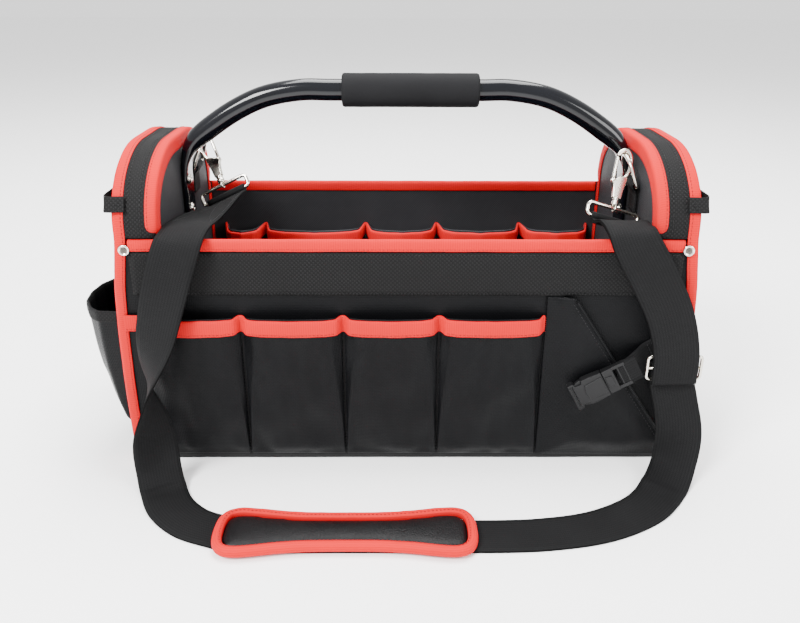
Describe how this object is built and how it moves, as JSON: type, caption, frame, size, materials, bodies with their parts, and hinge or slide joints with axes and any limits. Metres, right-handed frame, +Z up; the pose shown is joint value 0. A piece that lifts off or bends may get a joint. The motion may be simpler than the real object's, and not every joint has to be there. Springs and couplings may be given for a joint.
{
  "type": "open top tool tote",
  "caption": "Open top 20 inch fabric tool tote with arched padded end walls, a bent steel tube handle, outer and inner pockets, a quick-release buckle and a hooked shoulder strap with a pad.",
  "frame": {"origin": "centre of the base, on the floor plane", "axes": "+X to the right along the long side, +Y to the back, away from the strap side, +Z up"},
  "size_m": [0.5699, 0.361, 0.3453],
  "materials": {
    "black_fabric": "coarse woven nylon, matte",
    "black_webbing": "ribbed woven webbing, matte",
    "red_binding": "woven tape, matte",
    "handle_paint": "gloss black powder coat on steel tube",
    "grip_foam": "matte foam rubber",
    "nickel": "nickel plated",
    "pad_fabric": "pebbled non-slip face",
    "black_plastic": "satin moulded nylon"
  },
  "bodies": {
    "bag": {"base_panel": "black_fabric", "front_panel": "black_fabric", "front_top_binding": "red_binding", "back_panel": "black_fabric", "back_top_binding": "red_binding", "front_webbing_band": "black_webbing", "left_end_wall": "black_fabric", "left_gusset_webbing": "black_webbing", "left_outer_binding": "red_binding", "left_inner_binding": "red_binding", "right_end_wall": "black_fabric", "right_gusset_webbing": "black_webbing", "right_outer_binding": "red_binding", "right_inner_binding": "red_binding", "front_pocket_1": "black_fabric", "front_pocket_2": "black_fabric", "front_pocket_3": "black_fabric", "front_pocket_4": "black_fabric", "front_pocket_binding": "red_binding", "inner_pocket_1": "black_fabric", "inner_pocket_2": "black_fabric", "inner_pocket_3": "black_fabric", "inner_pocket_4": "black_fabric", "inner_pocket_5": "black_fabric", "inner_pocket_binding": "red_binding", "slanted_pocket": "black_fabric", "slanted_pocket_edging": "black_webbing", "side_pocket": "black_fabric", "left_side_loop": "black_webbing", "right_side_loop": "black_webbing", "handle_tube": "handle_paint", "handle_grip": "grip_foam", "left_upper_screw": "nickel", "left_lower_screw": "nickel", "front_left_rivet": "nickel", "back_left_rivet": "nickel", "right_upper_screw": "nickel", "right_lower_screw": "nickel", "front_right_rivet": "nickel", "back_right_rivet": "nickel", "left_ring_tab": "black_webbing", "left_d_ring": "nickel", "left_hook_body": "nickel", "left_strap_eye": "nickel", "right_ring_tab": "black_webbing", "right_d_ring": "nickel", "right_hook_body": "nickel", "right_strap_eye": "nickel", "shoulder_strap": "black_webbing", "upper_strap": "black_webbing", "strap_slider": "nickel", "pad_rim": "red_binding", "pad_cushion": "pad_fabric", "buckle_socket": "black_plastic", "buckle_plug": "black_plastic", "buckle_strap": "black_webbing"},
    "left_gate": {"left_hook_gate": "nickel"},
    "right_gate": {"right_hook_gate": "nickel"}
  },
  "joints": [
    {"name": "left_gate_swing", "type": "hinge", "parent": "bag", "child": "left_gate", "pos_m": [-0.18444, 0.02586, 0.26378], "axis": [-0.2058, -0.8829, 0.422], "range_deg": [0, 24], "stiffness_Nm_per_rad": 0.01},
    {"name": "right_gate_swing", "type": "hinge", "parent": "bag", "child": "right_gate", "pos_m": [0.18743, -0.04614, 0.26134], "axis": [-0.1215, 0.8829, -0.4535], "range_deg": [0, 24], "stiffness_Nm_per_rad": 0.01}
  ]
}
